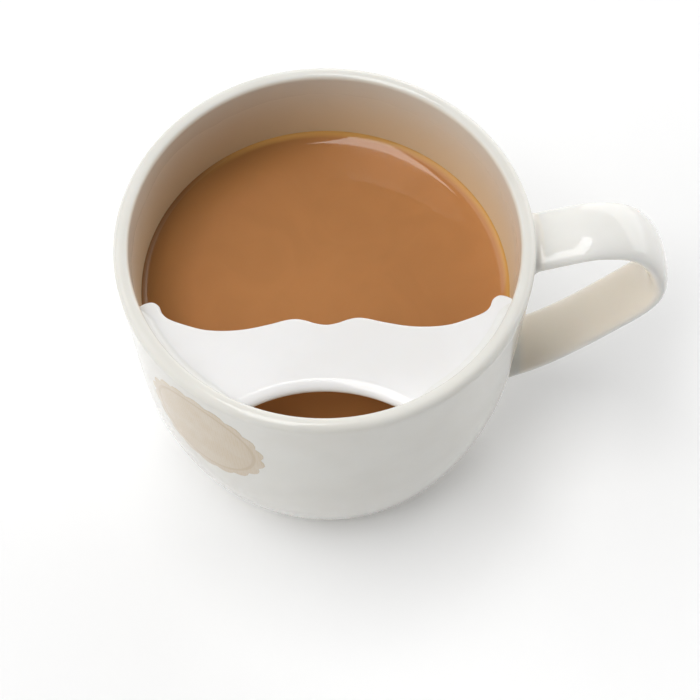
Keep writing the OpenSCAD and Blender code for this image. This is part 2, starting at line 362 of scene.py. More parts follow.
first_width = handle_w * spread(first)
strap = draw(section(ear[first], ways[first], first_width, handle_t), fine, closed=True)
edit_all(strap)
for i in range(first, last):
    bpy.ops.mesh.extrude_region_move(TRANSFORM_OT_translate={"value": ear[i + 1] - ear[i]})
    bend = atan2(ways[i + 1].z, ways[i + 1].x) - atan2(ways[i].z, ways[i].x)
    bend = (bend + pi) % tau - pi
    bpy.ops.transform.rotate(value=bend, orient_axis="Y", center_override=ear[i + 1])
    wider = spread(i + 1) / spread(i)
    bpy.ops.transform.resize(value=(1, wider, 1), center_override=ear[i + 1])
faces_out()
print(f"strap: {len(strap.data.vertices)} corners")

# %% [markdown]
# ## Where the handle meets the wall
#
# The handle is stuck on with slip, wet clay that is smoothed into a hollow fillet, and the
# glaze softens it further. Each end of the strap is run on towards the wall, and its ring is
# then extruded again and again along a Bezier curve that turns out over the wall. A Bevel of
# the corner is less work to write, but it throws out spikes where the ring turns sharply.

# %% Run the ends on to the wall and fillet the corners
slip_r, fillet_pull, fillet_steps = 2.1 * mm, 0.6, 9
sink, into_wall, ring_slack = 0.004 * mm, 1.2 * mm, 0.01 * mm


def ring_there():
    """The strap's selected corners. The shape is handed back too, so that they stay alive."""
    shape = bmesh.from_edit_mesh(strap.data)
    shape.normal_update()
    return shape, [corner for corner in shape.verts if corner.select]


def join_to_wall(end_index, way):
    """Runs the open end at a step of the ear on to the wall, along way."""
    here, plane = ear[end_index], ways[end_index]
    count = choose(strap, "VERT", lambda v: abs((v.co - here).dot(plane)) < ring_slack
        and (v.co - here).length < handle_w)
    shape, ring = ring_there()
    fillets = []
    for v in ring:
        _, corner, normal, _ = cup.ray_cast(v.co, way)
        out = (v.normal - v.normal.dot(normal) * normal).normalized()
        _, toe, toe_normal, _ = cup.closest_point_on_mesh(corner + slip_r * out)
        start, end = corner - slip_r * way, toe - sink * toe_normal
        pulls = [spot.lerp(corner, fillet_pull) for spot in (start, end)]
        fillets.append(curved(start, *pulls, end))
    for step in range(fillet_steps + 1):
        bpy.ops.mesh.extrude_region_move(TRANSFORM_OT_translate={"value": (0, 0, 0)})
        shape, ring = ring_there()
        for v, fillet in zip(ring, fillets):
            v.co = along(fillet, step / fillet_steps)
    bpy.ops.mesh.extrude_region_move(TRANSFORM_OT_translate={"value": way * into_wall})
    bpy.ops.mesh.edge_face_add()
    print(f"{count} corners run on to the wall near {here.z / mm:.0f} mm up")


join_to_wall(first, -ways[first])
join_to_wall(last, ways[last])
merge_touching()
faces_out()

# %% Turn the handle from square to the guard
strap.rotation_euler.z = radians(handle_turn)
apply_place(strap)
finish_piece(strap, "ear_handle", "handle", "handle_upper_slip_joint", "handle_lower_slip_joint")

# %% [markdown]
# ## The moustache guard
#
# The guard is a slab, cut to shape while the clay is leather hard. Its rear edge is drawn like
# a moustache, and its front edge is seated in the wall but for the drinking slot. The outline
# is drawn as one closed line, filled and extruded. Bevels then give the rear edge its small
# rounding and the slot its half-round lip.

# %% The rear edge of the guard's outline
guard_top, guard_t, guard_set, tip_sweep = 74.2 * mm, 4.2 * mm, 19.4 * mm, 6.5 * mm
slot_w, slot_depth, slot_turn = 35.2 * mm, 8.6 * mm, 1.3
moustache_shares = [(0, 0), (0.057, 0.06), (0.112, 0.185), (0.162, 0.246), (0.215, 0.21),
    (0.302, 0.06), (0.42, -0.1), (0.532, -0.154), (0.64, -0.1), (0.73, 0.07), (0.825, 0.32),
    (0.866, 0.55), (0.886, 0.85), (0.92, 1), (0.96, 0.96), (1, 0.82), (1.03, 0.7), (1.06, 0.58)]
wall_here = inside_r(guard_top)
guard_half_w = sqrt(wall_here ** 2 - (guard_set - tip_sweep) ** 2)


def moustache(side_sign):
    """One half of the moustache, from the middle out to its tip."""
    return [Vector((side_sign * x * guard_half_w, y * tip_sweep - guard_set, guard_top))
        for x, y in moustache_shares]


rear = through([*moustache(-1)[:0:-1], *moustache(1)])
tip = rear[-1][3]
tip_r, tip_angle = hypot(tip.x, tip.y), degrees(atan2(tip.y, tip.x))
print(f"the tips run {(tip_r - wall_here) / mm:.1f} mm into the wall, at {tip_angle:.1f} degrees")

# %% The drinking slot's back edge, an arc centred in front of the cup
slot_end = sqrt(wall_here ** 2 - (slot_w / 2) ** 2)
slot_rise = slot_end - wall_here + slot_depth
slot_r = ((slot_w / 2) ** 2 + slot_rise ** 2) / (2 * slot_rise)
slot_y = wall_here - slot_depth + slot_r
chord_y = (tip_r ** 2 - slot_r ** 2 + slot_y ** 2) / (2 * slot_y)
half_chord = sqrt(tip_r ** 2 - chord_y ** 2)
slot_half, slot_sweep = degrees(asin(half_chord / tip_r)), degrees(asin(half_chord / slot_r))
front = -90 - slot_turn
slot_middle = Vector((slot_y * cos(radians(front)), slot_y * sin(radians(front)), guard_top))
print(f"slot: radius {slot_r / mm:.1f} mm, ends {slot_half:.1f} degrees from its middle")

# %% Draw the outline, fill it and give it thickness
flat = {"u": Vector((1, 0, 0)), "v": Vector((0, 1, 0))}
seat_arcs, slot_arcs, outline_steps = 3, 4, 8
cup_middle = Vector((0, 0, guard_top))
slot_back = 180 + front
outline = [*rear,
    *arc(cup_middle, tip_r, tip_angle, front + slot_half, seat_arcs, **flat),
    *arc(slot_middle, slot_r, slot_back - slot_sweep, slot_back + slot_sweep, slot_arcs, **flat),
    *arc(cup_middle, tip_r, front - slot_half, -180 - tip_angle, seat_arcs, **flat)]
guard = draw(outline, outline_steps, closed=True)
edit_all(guard)
merge_touching()
bpy.ops.mesh.edge_face_add()
bpy.ops.mesh.extrude_region_move(TRANSFORM_OT_translate={"value": (0, 0, -guard_t)})
faces_out()
print(f"guard: {len(outline)} segments make {len(guard.data.edges)} edges")

# %% Round the slot's lip
half_t, lip_flat, lip_steps, arc_slack = guard_t / 2, 0.02 * mm, 10, 0.05 * mm


def from_slot(spot):
    """The level way to a spot from the centre of the slot's arc."""
    return Vector((spot.x - slot_middle.x, spot.y - slot_middle.y, 0))


def level(edge):
    """Whether both ends of an edge are at one height."""
    return abs(edge.verts[0].co.z - edge.verts[1].co.z) < touching


def on_slot(edge):
    """Whether an edge lies along the slot's arc, above or below."""
    return level(edge) and abs(from_slot(middle(edge)).length - slot_r) < arc_slack


found = choose(guard, "EDGE", on_slot)
bpy.ops.mesh.bevel(offset=half_t - lip_flat, segments=lip_steps, profile=0.5, affect="EDGES")
print(f"slot lip: {found} edges")

# %% [markdown]
# A wiped lip is not a true half circle. It is crowned on top, falls away to a nose that sits
# above the slab's middle, and is cut back below, so each ring of its corners is now moved.

# %% Crown the lip on top and cut it back below
crown, nose_drop, undercut = 0.75, 1.7 * mm, 1.4
found = choose(guard, "VERT", lambda v: from_slot(v.co).length < slot_r + half_t)
shape = bmesh.from_edit_mesh(guard.data)
for v in [corner for corner in shape.verts if corner.select]:
    away = from_slot(v.co)
    inwards = away.length - slot_r
    height = (v.co.z - guard_top) / half_t + 1
    if height >= 0:
        v.co.z = guard_top - nose_drop * (1 - height)
        v.co += away.normalized() * inwards * crown * (inwards / half_t) ** 2
    else:
        v.co.z = guard_top - nose_drop + (guard_t - nose_drop) * height
        v.co += away.normalized() * inwards * undercut
print(f"{found} corners of the lip moved, its nose {nose_drop / mm:.1f} mm below the top")

# %% Round the rear edge
rear_edge_r, rear_steps, rear_front, off_wall = 0.8 * mm, 5, -25 * mm, 0.02 * mm


def on_rear(edge):
    """Whether an edge lies along the moustache, and not in the wall."""
    here = middle(edge)
    return level(edge) and here.y > rear_front and hypot(here.x, here.y) < tip_r - off_wall


found = choose(guard, "EDGE", on_rear)
bpy.ops.mesh.bevel(offset=rear_edge_r, segments=rear_steps, profile=0.5, affect="EDGES")
bpy.ops.object.mode_set(mode="OBJECT")
print(f"rear edge: {found} edges")
finish_piece(guard, "guard_plate", "moustache_guard")
bpy.ops.object.modifier_add(type="WEIGHTED_NORMAL")
guard.modifiers[-1].keep_sharp = True
bpy.ops.object.modifier_apply(modifier=guard.modifiers[-1].name)

# %% [markdown]
# ## The gutter round the guard
#
# Slip is worked into the corner between guard and wall, above and below, and the glaze pools
# there. Its section is drawn as a hollow corner and spun along the wall, in the same steps as
# the body, so that the two skins meet without a seam. The end rings are then shrunk towards
# the corner, and the gutter fades out at the tips and at the slot.

# %% The gutter's section, and where it runs
step_angle = 360 / wheel_steps
gutter_reach, gutter_pull, gutter_back, gutter_steps = 2 * mm, 0.56, 0.5 * mm, 8
skin = 0.002 * mm
tip_fade, slot_fade = (0.3, 0.72), (0.15, 0.35, 0.55, 0.75, 0.92)
spans = ((-35, -11, slot_fade, tip_fade), (-85, -62, tip_fade, slot_fade))
corner_heights = ((guard_top, 1), (guard_top - guard_t, -1))


def gutter_section(z, rising):
    """The hollow corner between guard and wall at a height, closed behind both their faces.
    Rising is 1 above the guard and -1 below it."""
    corner = at(inside_r(z), z)
    low = corner - at(gutter_reach, rising * skin)
    high_z = z + rising * gutter_reach
    high = at(inside_r(high_z) + skin, high_z)
    high_back = high + at(gutter_back, 0)
    back = corner + at(gutter_back, -rising * gutter_back)
    low_back = low - at(0, rising * gutter_back)
    hollow = curved(low, low + at(gutter_reach * gutter_pull, 0),
        high - (high - corner) * gutter_pull, high)
    return [hollow, straight(high, high_back), straight(high_back, back),
        straight(back, low_back), straight(low_back, low)]


for start, end, *_ in spans:
    print(f"a gutter runs along the wall from {start * step_angle} to {end * step_angle} degrees")


# %% Spin the section along the wall and fade its ends
def gutter(z, rising, from_step, to_step, from_fade, to_fade):
    """A gutter from one wheel step to another. A fade has the sizes of its end rings in turn."""
    line = draw(gutter_section(z, rising), gutter_steps, closed=True)
    line.rotation_euler.z = radians(from_step * step_angle)
    apply_place(line)
    run, corner = to_step - from_step, at(inside_r(z), z)
    spin(line, turn=radians(run * step_angle), steps=run)
    for k, share in [*enumerate(from_fade), *((run - j, s) for j, s in enumerate(to_fade))]:
        angle = radians((from_step + k) * step_angle)
        hub = Vector((corner.x * cos(angle), corner.x * sin(angle), z))
        across = Vector((-sin(angle), cos(angle), 0))
        choose(line, "VERT", lambda v: abs(v.co.dot(across)) < touching and v.co.dot(hub) > 0)
        bpy.ops.transform.resize(value=(share,) * 3, center_override=hub)
    bpy.ops.object.mode_set(mode="OBJECT")
    return line


gutters = [gutter(z, rising, *span) for span in spans for z, rising in corner_heights]
guard_gutter = only(gutters[0])
for piece in gutters:
    piece.select_set(True)
bpy.ops.object.join()
finish_piece(guard_gutter, "guard_gutter", "guard_slip_joint")

# %% [markdown]
# ## The tea
#
# Tea wets the glaze, so its surface climbs the wall in a hollow curve, the meniscus, and that
# thin curved band catches the light. The curve of a liquid at a wall is known exactly: its
# height and its distance from the wall both follow from its slope. The level part, that curve
# and the inside of the body make half a section, which is spun like the body.

# %% The tea's section and its spin
tea_level, capillary, sunk, tea_lead = 55.5 * mm, 1.9 * mm, 0.3 * mm, 2 * mm
slopes = (0.7, 1.5, 3, 5, 8, 12, 17, 23, 30, 38, 48, 58)
tea_steps = 4


def climb(slope):
    """How far the curve is from a fixed line, and how high above the level, at a slope."""
    slope = radians(slope)
    return capillary * (log(tan(slope / 4)) + 2 * cos(slope / 2)), 2 * capillary * sin(slope / 2)


wall_x, wall_rise = climb(slopes[-1])
tea_r = inside_r(tea_level + wall_rise)
meniscus = [at(tea_r - wall_x + x, tea_level + rise) for x, rise in map(climb, slopes)]
tea_start, tea_edge = meniscus[0] - at(tea_lead, 0), meniscus[-1] + at(sunk, 0)
outwards, under = at(sunk, 0), at(sunk, -sunk)
belly_sides, belly_floors = inner_belly[:2], inner_belly[2:]
tea_line = [straight(at(0, tea_level), tea_start),
    *through([tea_start - at(2 * tea_lead, 0), tea_start, *meniscus, tea_edge]),
    straight(meniscus[-1], tea_edge),
    straight(tea_edge, inner_belly_top + outwards),
    curved(*[spot + outwards for spot in belly_sides], *[spot + under for spot in belly_floors]),
    straight(inner_floor + under, at(0, floor_z - sunk))]
tea = spin(draw(tea_line, tea_steps))
finish_piece(tea, "tea_fill", "tea", slot="tea")
print(f"the tea climbs {wall_rise / mm:.1f} mm up the wall")

# %% [markdown]
# ## The fired print
#
# A transfer print is a thin film of ceramic colour. Here it is a plain scalloped oval. A patch
# of the body's outside is spun again in the same steps and given the film's thickness, and a
# scalloped cutter then trims it, like a pastry cutter pushed through from the front.

# %% A scalloped cutter
print_w, print_h, print_z, print_turn = 32 * mm, 35 * mm, 56 * mm, 38
cutter_corners, scallop_corners, dip, shoulder = 72, 4, 0.94, 0.983
cutter_reach = 60 * mm
bpy.ops.mesh.primitive_circle_add(vertices=cutter_corners, radius=0.5, fill_type="NOTHING")
cutter = only(bpy.context.object)


def corner_number(v):
    """Counts a corner of the circle anticlockwise from the right."""
    return round(degrees(atan2(v.co.y, v.co.x)) * cutter_corners / 360)


def resize_about_middle(*shares):
    """Resizes what is selected about the circle's middle, by a share along each axis."""
    bpy.ops.transform.resize(value=shares, center_override=(0, 0, 0))


choose(cutter, "VERT", lambda v: corner_number(v) % scallop_corners == 0)
resize_about_middle(dip, dip, 1)
choose(cutter, "VERT", lambda v: corner_number(v) % 2 == 1)
resize_about_middle(shoulder, shoulder, 1)
bpy.ops.mesh.select_all(action="SELECT")
resize_about_middle(print_w, print_h, 1)
bpy.ops.mesh.edge_face_add()
bpy.ops.mesh.extrude_region_move(TRANSFORM_OT_translate={"value": (0, 0, cutter_reach)})
faces_out()
cutter.rotation_euler = (radians(90), 0, -radians(print_turn))
cutter.location.z = print_z
apply_place(cutter)
print("cutter:", [round(c / mm, 1) for c in cutter.dimensions], "mm")

# %% Spin a patch of the body's outside, thicken it and trim it
film, buried, patch_steps = 0.03 * mm, 0.2 * mm, 32
patch = draw([outer_belly, outer_side], fine)
patch_start = round((-90 - print_turn) / step_angle) - patch_steps / 2
patch.rotation_euler.z = radians(patch_start * step_angle)
apply_place(patch)
spin(patch, turn=radians(patch_steps * step_angle), steps=patch_steps, closed=False)
thicken = patch.modifiers.new("thickness", "SOLIDIFY")
thicken.thickness, thicken.offset = film + buried, 2 * film / (film + buried) - 1
trim = patch.modifiers.new("trim", "BOOLEAN")
trim.operation, trim.object, trim.solver = "INTERSECT", cutter, "EXACT"
for modifier in ("thickness", "trim"):
    bpy.ops.object.modifier_apply(modifier=modifier)
bpy.data.objects.remove(cutter)
finish_piece(patch, "print_film", "transfer_print", slot="print_colour")

# %% [markdown]
# ## The materials
#
# Glazed porcelain is a hard white body under a thin layer of glass. The glass ripples a little
# like orange peel, has a few pinholes and iron specks, and turns faintly green and grey where
# it pools thick. Painted pictures could carry all this, but they need unwrapping and show
# seams. Two node groups make these effects instead, from the object's own coordinates, and
# each material places them with its own values. The foot's edge is wiped bare before the
# firing, so it stays rough and warm.

# %% Helpers for nodes
def node(tree, kind, wires={}, **settings):
    """Adds a node. Each wire gives an input its value, or the output that feeds it."""
    made = tree.nodes.new("ShaderNode" + kind)
    for key, value in settings.items():
        setattr(made, key, value)
    for key, value in wires.items():
        if isinstance(value, bpy.types.NodeSocket):
            tree.links.new(value, made.inputs[key])
        else:
            made.inputs[key].default_value = value
    return made


def coordinates(tree, kind="Object"):
    """The object's own coordinates, or its normals."""
    return node(tree, "TexCoord").outputs[kind]


def ramp(tree, value, low, high, to_low=0.0, to_high=1.0):
    """A smooth step from one value to another."""
    return node(tree, "MapRange", {"Value": value, "From Min": low, "From Max": high,
        "To Min": to_low, "To Max": to_high}, interpolation_type="SMOOTHSTEP").outputs["Result"]


def maths(tree, operation, *values):
    """The result of a sum or a test of numbers."""
    return node(tree, "Math", dict(enumerate(values)), operation=operation).outputs[0]


def vectors(tree, operation, *values, result="Vector"):
    """The result of an operation on vectors, which is a vector or a number."""
    return node(tree, "VectorMath", dict(enumerate(values)), operation=operation).outputs[result]


def noise(tree, vector, scale, detail, **more):
    """A cloudy pattern. Scale is how many clouds lie in a metre, and detail adds finer ones."""
    wires = {"Vector": vector, "Scale": scale, "Detail": detail, **more}
    return node(tree, "TexNoise", wires).outputs["Fac"]


def blend_colour(tree, amount, a, b):
    """Goes from colour a to colour b as the amount goes from 0 to 1."""
    made = node(tree, "Mix", {"Factor": amount}, data_type="RGBA")
    for socket, value in zip([s for s in made.inputs if s.type == "RGBA"], (a, b)):
        if isinstance(value, bpy.types.NodeSocket):
            tree.links.new(value, socket)
        else:
            socket.default_value = (*value, 1)
    return [s for s in made.outputs if s.type == "RGBA"][0]


makers = (node, coordinates, ramp, maths, vectors, noise, blend_colour)
print("node helpers:", ", ".join(maker.__name__ for maker in makers))


# %% Node groups, and how a material places one
def new_group(name, inputs, outputs):
    """A shader node group with named number sockets, and its two ends."""
    tree = bpy.data.node_groups.new(name, "ShaderNodeTree")
    for keys, way in ((inputs, "INPUT"), (outputs, "OUTPUT")):
        for key in keys:
            tree.interface.new_socket(key, in_out=way, socket_type="NodeSocketFloat")
    return tree, tree.nodes.new("NodeGroupInput").outputs, tree.nodes.new("NodeGroupOutput").inputs


def place_group(tree, group, **values):
    """Places a group, with its values, and hands back its outputs."""
    made = tree.nodes.new("ShaderNodeGroup")
    made.node_tree = group
    for key, value in values.items():
        made.inputs[key.replace("_", " ").title()].default_value = value
    return made.outputs


print("group helpers:", new_group.__name__, "and", place_group.__name__)

# %% The glaze's own surface: ripples, pinholes, specks and mottling
wave_scale, cloud_scale, wave_height, pit_height = 70.0, 45.0, 4, -2.5
smallest_speck, speck_range = 0.02, 0.035
speck_edge, mottle_range = (0.5, 1.2), (0.35, 0.65)
glass_skin, given, made = new_group("glass_skin", ("Peel Size", "Speck Spacing", "Speck Share"),
    ("Height", "Mottle", "Specks"))
spot = coordinates(glass_skin)
peel_scale = maths(glass_skin, "DIVIDE", 1, given["Peel Size"])
peel = noise(glass_skin, spot, peel_scale, detail=2.0)
waves = noise(glass_skin, spot, wave_scale, detail=1.0)
cells = node(glass_skin, "TexVoronoi", {"Vector": spot, "Randomness": 1.0,
    "Scale": maths(glass_skin, "DIVIDE", 1, given["Speck Spacing"])})
chance = node(glass_skin, "SeparateColor", {"Color": cells.outputs["Color"]}).outputs
is_speck = maths(glass_skin, "LESS_THAN", chance["Red"], given["Speck Share"])
is_pinhole = maths(glass_skin, "LESS_THAN", chance["Green"], given["Speck Share"])
speck_size = maths(glass_skin, "MULTIPLY_ADD", chance["Blue"], speck_range, smallest_speck)
from_speck = maths(glass_skin, "DIVIDE", cells.outputs["Distance"], speck_size)
inside = maths(glass_skin, "SUBTRACT", 1, ramp(glass_skin, from_speck, *speck_edge))
pinholes = maths(glass_skin, "MULTIPLY", inside, is_pinhole)
pits = maths(glass_skin, "MULTIPLY", pinholes, pit_height)
ripples = maths(glass_skin, "MULTIPLY_ADD", waves, wave_height, peel)
glass_skin.links.new(maths(glass_skin, "ADD", ripples, pits), made["Height"])
glass_skin.links.new(maths(glass_skin, "MULTIPLY", inside, is_speck), made["Specks"])
cloud = noise(glass_skin, spot, cloud_scale, detail=4.0)
glass_skin.links.new(ramp(glass_skin, cloud, *mottle_range), made["Mottle"])
print(f"{glass_skin.name}: {len(glass_skin.nodes)} nodes")

# %% Where glaze pools: a soft band of heights and of distances from the axis
band_keys = ("low", "high", "fade", "inner", "outer", "edge")
pooling, given, made = new_group("pooling", [key.title() for key in band_keys], ("Mask",))
place = node(pooling, "SeparateXYZ", {0: coordinates(pooling)}).outputs
level_place = node(pooling, "CombineXYZ", {"X": place["X"], "Y": place["Y"]}).outputs[0]
from_axis = vectors(pooling, "LENGTH", level_place, result="Value")
mask = 1
for value, low, high, soft in ((place["Z"], "Low", "High", "Fade"),
        (from_axis, "Inner", "Outer", "Edge")):
    rise_start = maths(pooling, "SUBTRACT", given[low], given[soft])
    fall_end = maths(pooling, "ADD", given[high], given[soft])
    rise = ramp(pooling, value, rise_start, given[low])
    fall = ramp(pooling, value, given[high], fall_end, 1, 0)
    mask = maths(pooling, "MULTIPLY", mask, maths(pooling, "MULTIPLY", rise, fall))
pooling.links.new(mask, made["Mask"])


def band_mask(tree, *band):
    """The mask of one soft band: low, high and fade, then inner, outer and edge."""
    return place_group(tree, pooling, **dict(zip(band_keys, band)))["Mask"]


anywhere = (0, 1, 1 * mm)
print("groups:", ", ".join(group.name for group in bpy.data.node_groups))


# %% What the materials share
def start_material(name, **values):
    """A new material whose shader has these values, with its node tree and its shader."""
    material = bpy.data.materials.new(name)
    material.use_nodes = True
    shader = material.node_tree.nodes["Principled BSDF"]
    for key, value in values.items():
        shader.inputs[key.replace("_", " ")].default_value = value
    return material, material.node_tree, shader


def add_bump(tree, shader, height, depth):
    """Feeds the shader's normal from a height, where 1 is as high as depth."""
    bump = node(tree, "Bump", {"Height": height, "Strength": 1.0, "Distance": depth})
    tree.links.new(bump.outputs["Normal"], shader.inputs["Normal"])


def lay_glass(tree, shader, specks):
    """Places the glass's surface with its bump. Specks is the share of cells that have one."""
    skin_of = place_group(tree, glass_skin, peel_size=peel_size, speck_spacing=speck_spacing,
        speck_share=specks)
    add_bump(tree, shader, skin_of["Height"], glass_depth)
    return skin_of


def tinted(colour, cast):
    """A colour multiplied by a cast."""
    return tuple(c * k for c, k in zip(colour, cast))


def dress(piece, material):
    """Gives a piece its one material."""
    piece.data.materials.clear()
    piece.data.materials.append(material)
    print(f"{piece.name} wears {material.name}")


peel_size, speck_spacing, glass_depth, usual_specks = 2.2 * mm, 9 * mm, 0.006 * mm, 0.07
glass = {"Roughness": 0.07, "IOR": 1.52}
print(f"glass: ripples {peel_size / mm:.1f} mm apart, {glass_depth / mm:.3f} mm high")

# %% White glaze, with its own pools for each piece
# The pools' tint is glaze lying thick in creases, darkened with painted crease shade too.
white, shade, pooled_glaze_and_shade = (0.80, 0.792, 0.767), (0.768, 0.757, 0.727), (0.66, 0.63, 0.55)
speck_brown, bare_clay, warm_light_cream = (0.32, 0.24, 0.17), (0.70, 0.62, 0.53), (0.92, 0.845, 0.74)
# A tea stain's colour, which also stands in for painted tea-coloured bounce light and shade.
tea_stain_and_bounce = (0.69, 0.53, 0.33)
calm_rough, mottle_rough, film_rough, bare_rough, speck_strength = 0.055, 0.03, 0.4, 0.65, 0.45
behind_guard, facing_hollow = (-24 * mm, -12 * mm), (-0.7, 0.7)
off_the_wall = (*anywhere, 50 * mm, 1, 2.6 * mm)
glazed = (0.7 * mm, 1, 0.25 * mm, *anywhere)


def white_glaze(name, pools, film=None, hollow=None, cast=(1, 1, 1), specks=usual_specks):
    """Glazed porcelain, its white multiplied by cast, which paints light or shade on a piece.
    Each pool is a band, a tint and its strength. A film is one more behind the guard: a tea
    stain with painted tea-coloured bounce light and shade, which dulls the glaze. What faces
    the point in a hollow gets painted warm bounce light."""
    material, tree, shader = start_material(name, **glass, Specular_IOR_Level=0.32,
        Subsurface_Weight=0.15, Subsurface_Scale=1.5 * mm, Subsurface_Radius=(1, 0.8, 0.6))
    skin_of = lay_glass(tree, shader, specks)
    spot = coordinates(tree)
    colour = blend_colour(tree, skin_of["Mottle"], tinted(white, cast), tinted(shade, cast))
    # Painted warm bounce light on the faces that turn towards the hollow's point.
    if hollow:
        towards = vectors(tree, "NORMALIZE", vectors(tree, "SUBTRACT", hollow, spot))
        faces = vectors(tree, "DOT_PRODUCT", towards, coordinates(tree, "Normal"), result="Value")
        hollow_bounce = maths(tree, "MULTIPLY", ramp(tree, faces, *facing_hollow),
            band_mask(tree, *off_the_wall))
        colour = blend_colour(tree, hollow_bounce, colour, warm_light_cream)
    rough = maths(tree, "MULTIPLY_ADD", skin_of["Mottle"], mottle_rough, calm_rough)
    for *band, tint, strength in pools:
        pooled = maths(tree, "MULTIPLY", band_mask(tree, *band), strength)
        colour = blend_colour(tree, pooled, colour, tint)
    if film:
        *band, tint, strength = film
        # The film is a tea stain with painted bounce light and shade in it, only behind the guard.
        y = node(tree, "SeparateXYZ", {0: spot}).outputs["Y"]
        stain_and_bounce_mask = maths(tree, "MULTIPLY", band_mask(tree, *band), ramp(tree, y, *behind_guard))
        rough = maths(tree, "MULTIPLY_ADD", stain_and_bounce_mask, film_rough, rough)
        colour = blend_colour(tree, maths(tree, "MULTIPLY", stain_and_bounce_mask, strength), colour, tint)
    speckled = maths(tree, "MULTIPLY", skin_of["Specks"], speck_strength)
    colour = blend_colour(tree, speckled, colour, speck_brown)
    bare = maths(tree, "SUBTRACT", 1, band_mask(tree, *glazed))
    tree.links.new(blend_colour(tree, bare, colour, bare_clay), shader.inputs["Base Color"])
    rough = maths(tree, "MULTIPLY_ADD", bare, bare_rough, rough)
    tree.links.new(rough, shader.inputs["Roughness"])
    return material


print("glaze colours:", white, "mottled with", shade)

# %% [markdown]
# Each piece has its own cast of white: the handle and the guard are painted lighter and the
# body darker, as painted light and shade. Light thrown back by the tea and the floor warms
# some faces of a real cup more than soft studio light alone does, so warm bounce light is
# painted into the handle's hollow and onto the guard's underside, and a painted warm highlight
# runs along the handle's root. On the inside of the body, tea has left a thin film, and
# tea-coloured bounce light and shade are painted into it.

# %% Dress the clay pieces
# The foot's crease and the gutter get pooled glaze with painted crease shade.
foot_pool_and_shade = (1.6 * mm, 3.6 * mm, 2 * mm, 30 * mm, 36 * mm, 2 * mm, pooled_glaze_and_shade, 0.6)
# A tea stain on the inner wall above the tea, with painted tea-coloured bounce light and shade.
inside_stain_and_bounce = (54 * mm, 57 * mm, 30 * mm, 0, 44.2 * mm, 0.5 * mm, tea_stain_and_bounce, 0.9)
# A painted warm highlight in a narrow band along the handle's root.
handle_root_highlight = (*anywhere, 48.4 * mm, 49.4 * mm, 0.8 * mm, warm_light_cream, 0.3)
# Painted tea-coloured bounce light on the guard's underside, fading up the slot's nose.
guard_underside_bounce = (0, 71.4 * mm, 1.9 * mm, *anywhere, tea_stain_and_bounce, 0.9)
gutter_pool_and_shade = (*anywhere, *anywhere, pooled_glaze_and_shade, 0.08)
# Casts of one glaze: painted light on the handle and the guard, painted shade on the body.
body_shade_cast, handle_light_cast, guard_light_cast = (0.925, 0.92, 0.89), (1.02, 1.02, 1.01), (1.02, 1.02, 1.045)
handle_hollow = (62 * mm, 3 * mm, 50 * mm)
dress(cup, white_glaze("body_glaze", [foot_pool_and_shade], film=inside_stain_and_bounce, cast=body_shade_cast))
dress(strap, white_glaze("handle_glaze", [handle_root_highlight], hollow=handle_hollow,
    cast=handle_light_cast, specks=0))
dress(guard, white_glaze("guard_glaze", [guard_underside_bounce], cast=guard_light_cast, specks=0.02))
dress(guard_gutter, white_glaze("gutter_glaze", [gutter_pool_and_shade], specks=0))

# %% [markdown]
# ## Tea and the print
#
# Tea with milk is nearly opaque. At its very edge it lies thin over the white wall, and there
# it is painted golden on its lit side and painted dark on its shaded side. Painted shadow also
# darkens it by the shaded wall and under the guard. The print's colour lies under the glaze,
# so it is just as glossy. It is laid down in fine dots, with a darker line inside its
# scalloped edge.

# %% The tea's colours: its body, its shaded zones and its thin edge
tea_brown, tea_gold, tea_painted_shade = (0.435, 0.195, 0.07), (0.55, 0.295, 0.085), (0.25, 0.11, 0.03)
swirl_scale, swirl_range, swirl_cast = 60.0, (0.3, 0.7), (1.06,) * 3
tea_rough, dull_rough, calm_scale, calm_height = 0.03, 0.5, 90.0, 0.004 * mm
thin_edge = (*anywhere, tea_r - 0.3 * mm, 1, 1.2 * mm)
near_wall = (*anywhere, tea_r - 1 * mm, 1, 12 * mm)
left_way, left_shade = (-0.9, 0.43, 0), (8 * mm, 34 * mm, 0.8)
front_way, front_shade = (0, -1, 0), (20 * mm, 30 * mm, 0.45)
dull_way, dull_to_lit = (-0.8, -0.6, 0), (-0.2, 0.3)
tea_look, tree, shader = start_material("milky_tea", Roughness=tea_rough, IOR=1.34,
    Specular_IOR_Level=0.62, Subsurface_Weight=0.2, Subsurface_Scale=1.5 * mm,
    Subsurface_Radius=(1, 0.6, 0.35))
spot = coordinates(tree)


def shaded(way, start, full, strength):
    """How much painted shade darkens the tea, from nothing at start to its strength
    at full along a way.
    """
    distance = vectors(tree, "DOT_PRODUCT", spot, way, result="Value")
    return maths(tree, "MULTIPLY", ramp(tree, distance, start, full), strength)


swirl = ramp(tree, noise(tree, spot, swirl_scale, detail=5.0, Distortion=1.5), *swirl_range)
colour = blend_colour(tree, swirl, tea_brown, tinted(tea_brown, swirl_cast))
# Painted shadow: the tea is darker by the shaded left wall and under the guard.
painted_wall_shadow = maths(tree, "MULTIPLY", shaded(left_way, *left_shade), band_mask(tree, *near_wall))
colour = blend_colour(tree, painted_wall_shadow, colour, tea_painted_shade)
colour = blend_colour(tree, shaded(front_way, *front_shade), colour, tea_painted_shade)
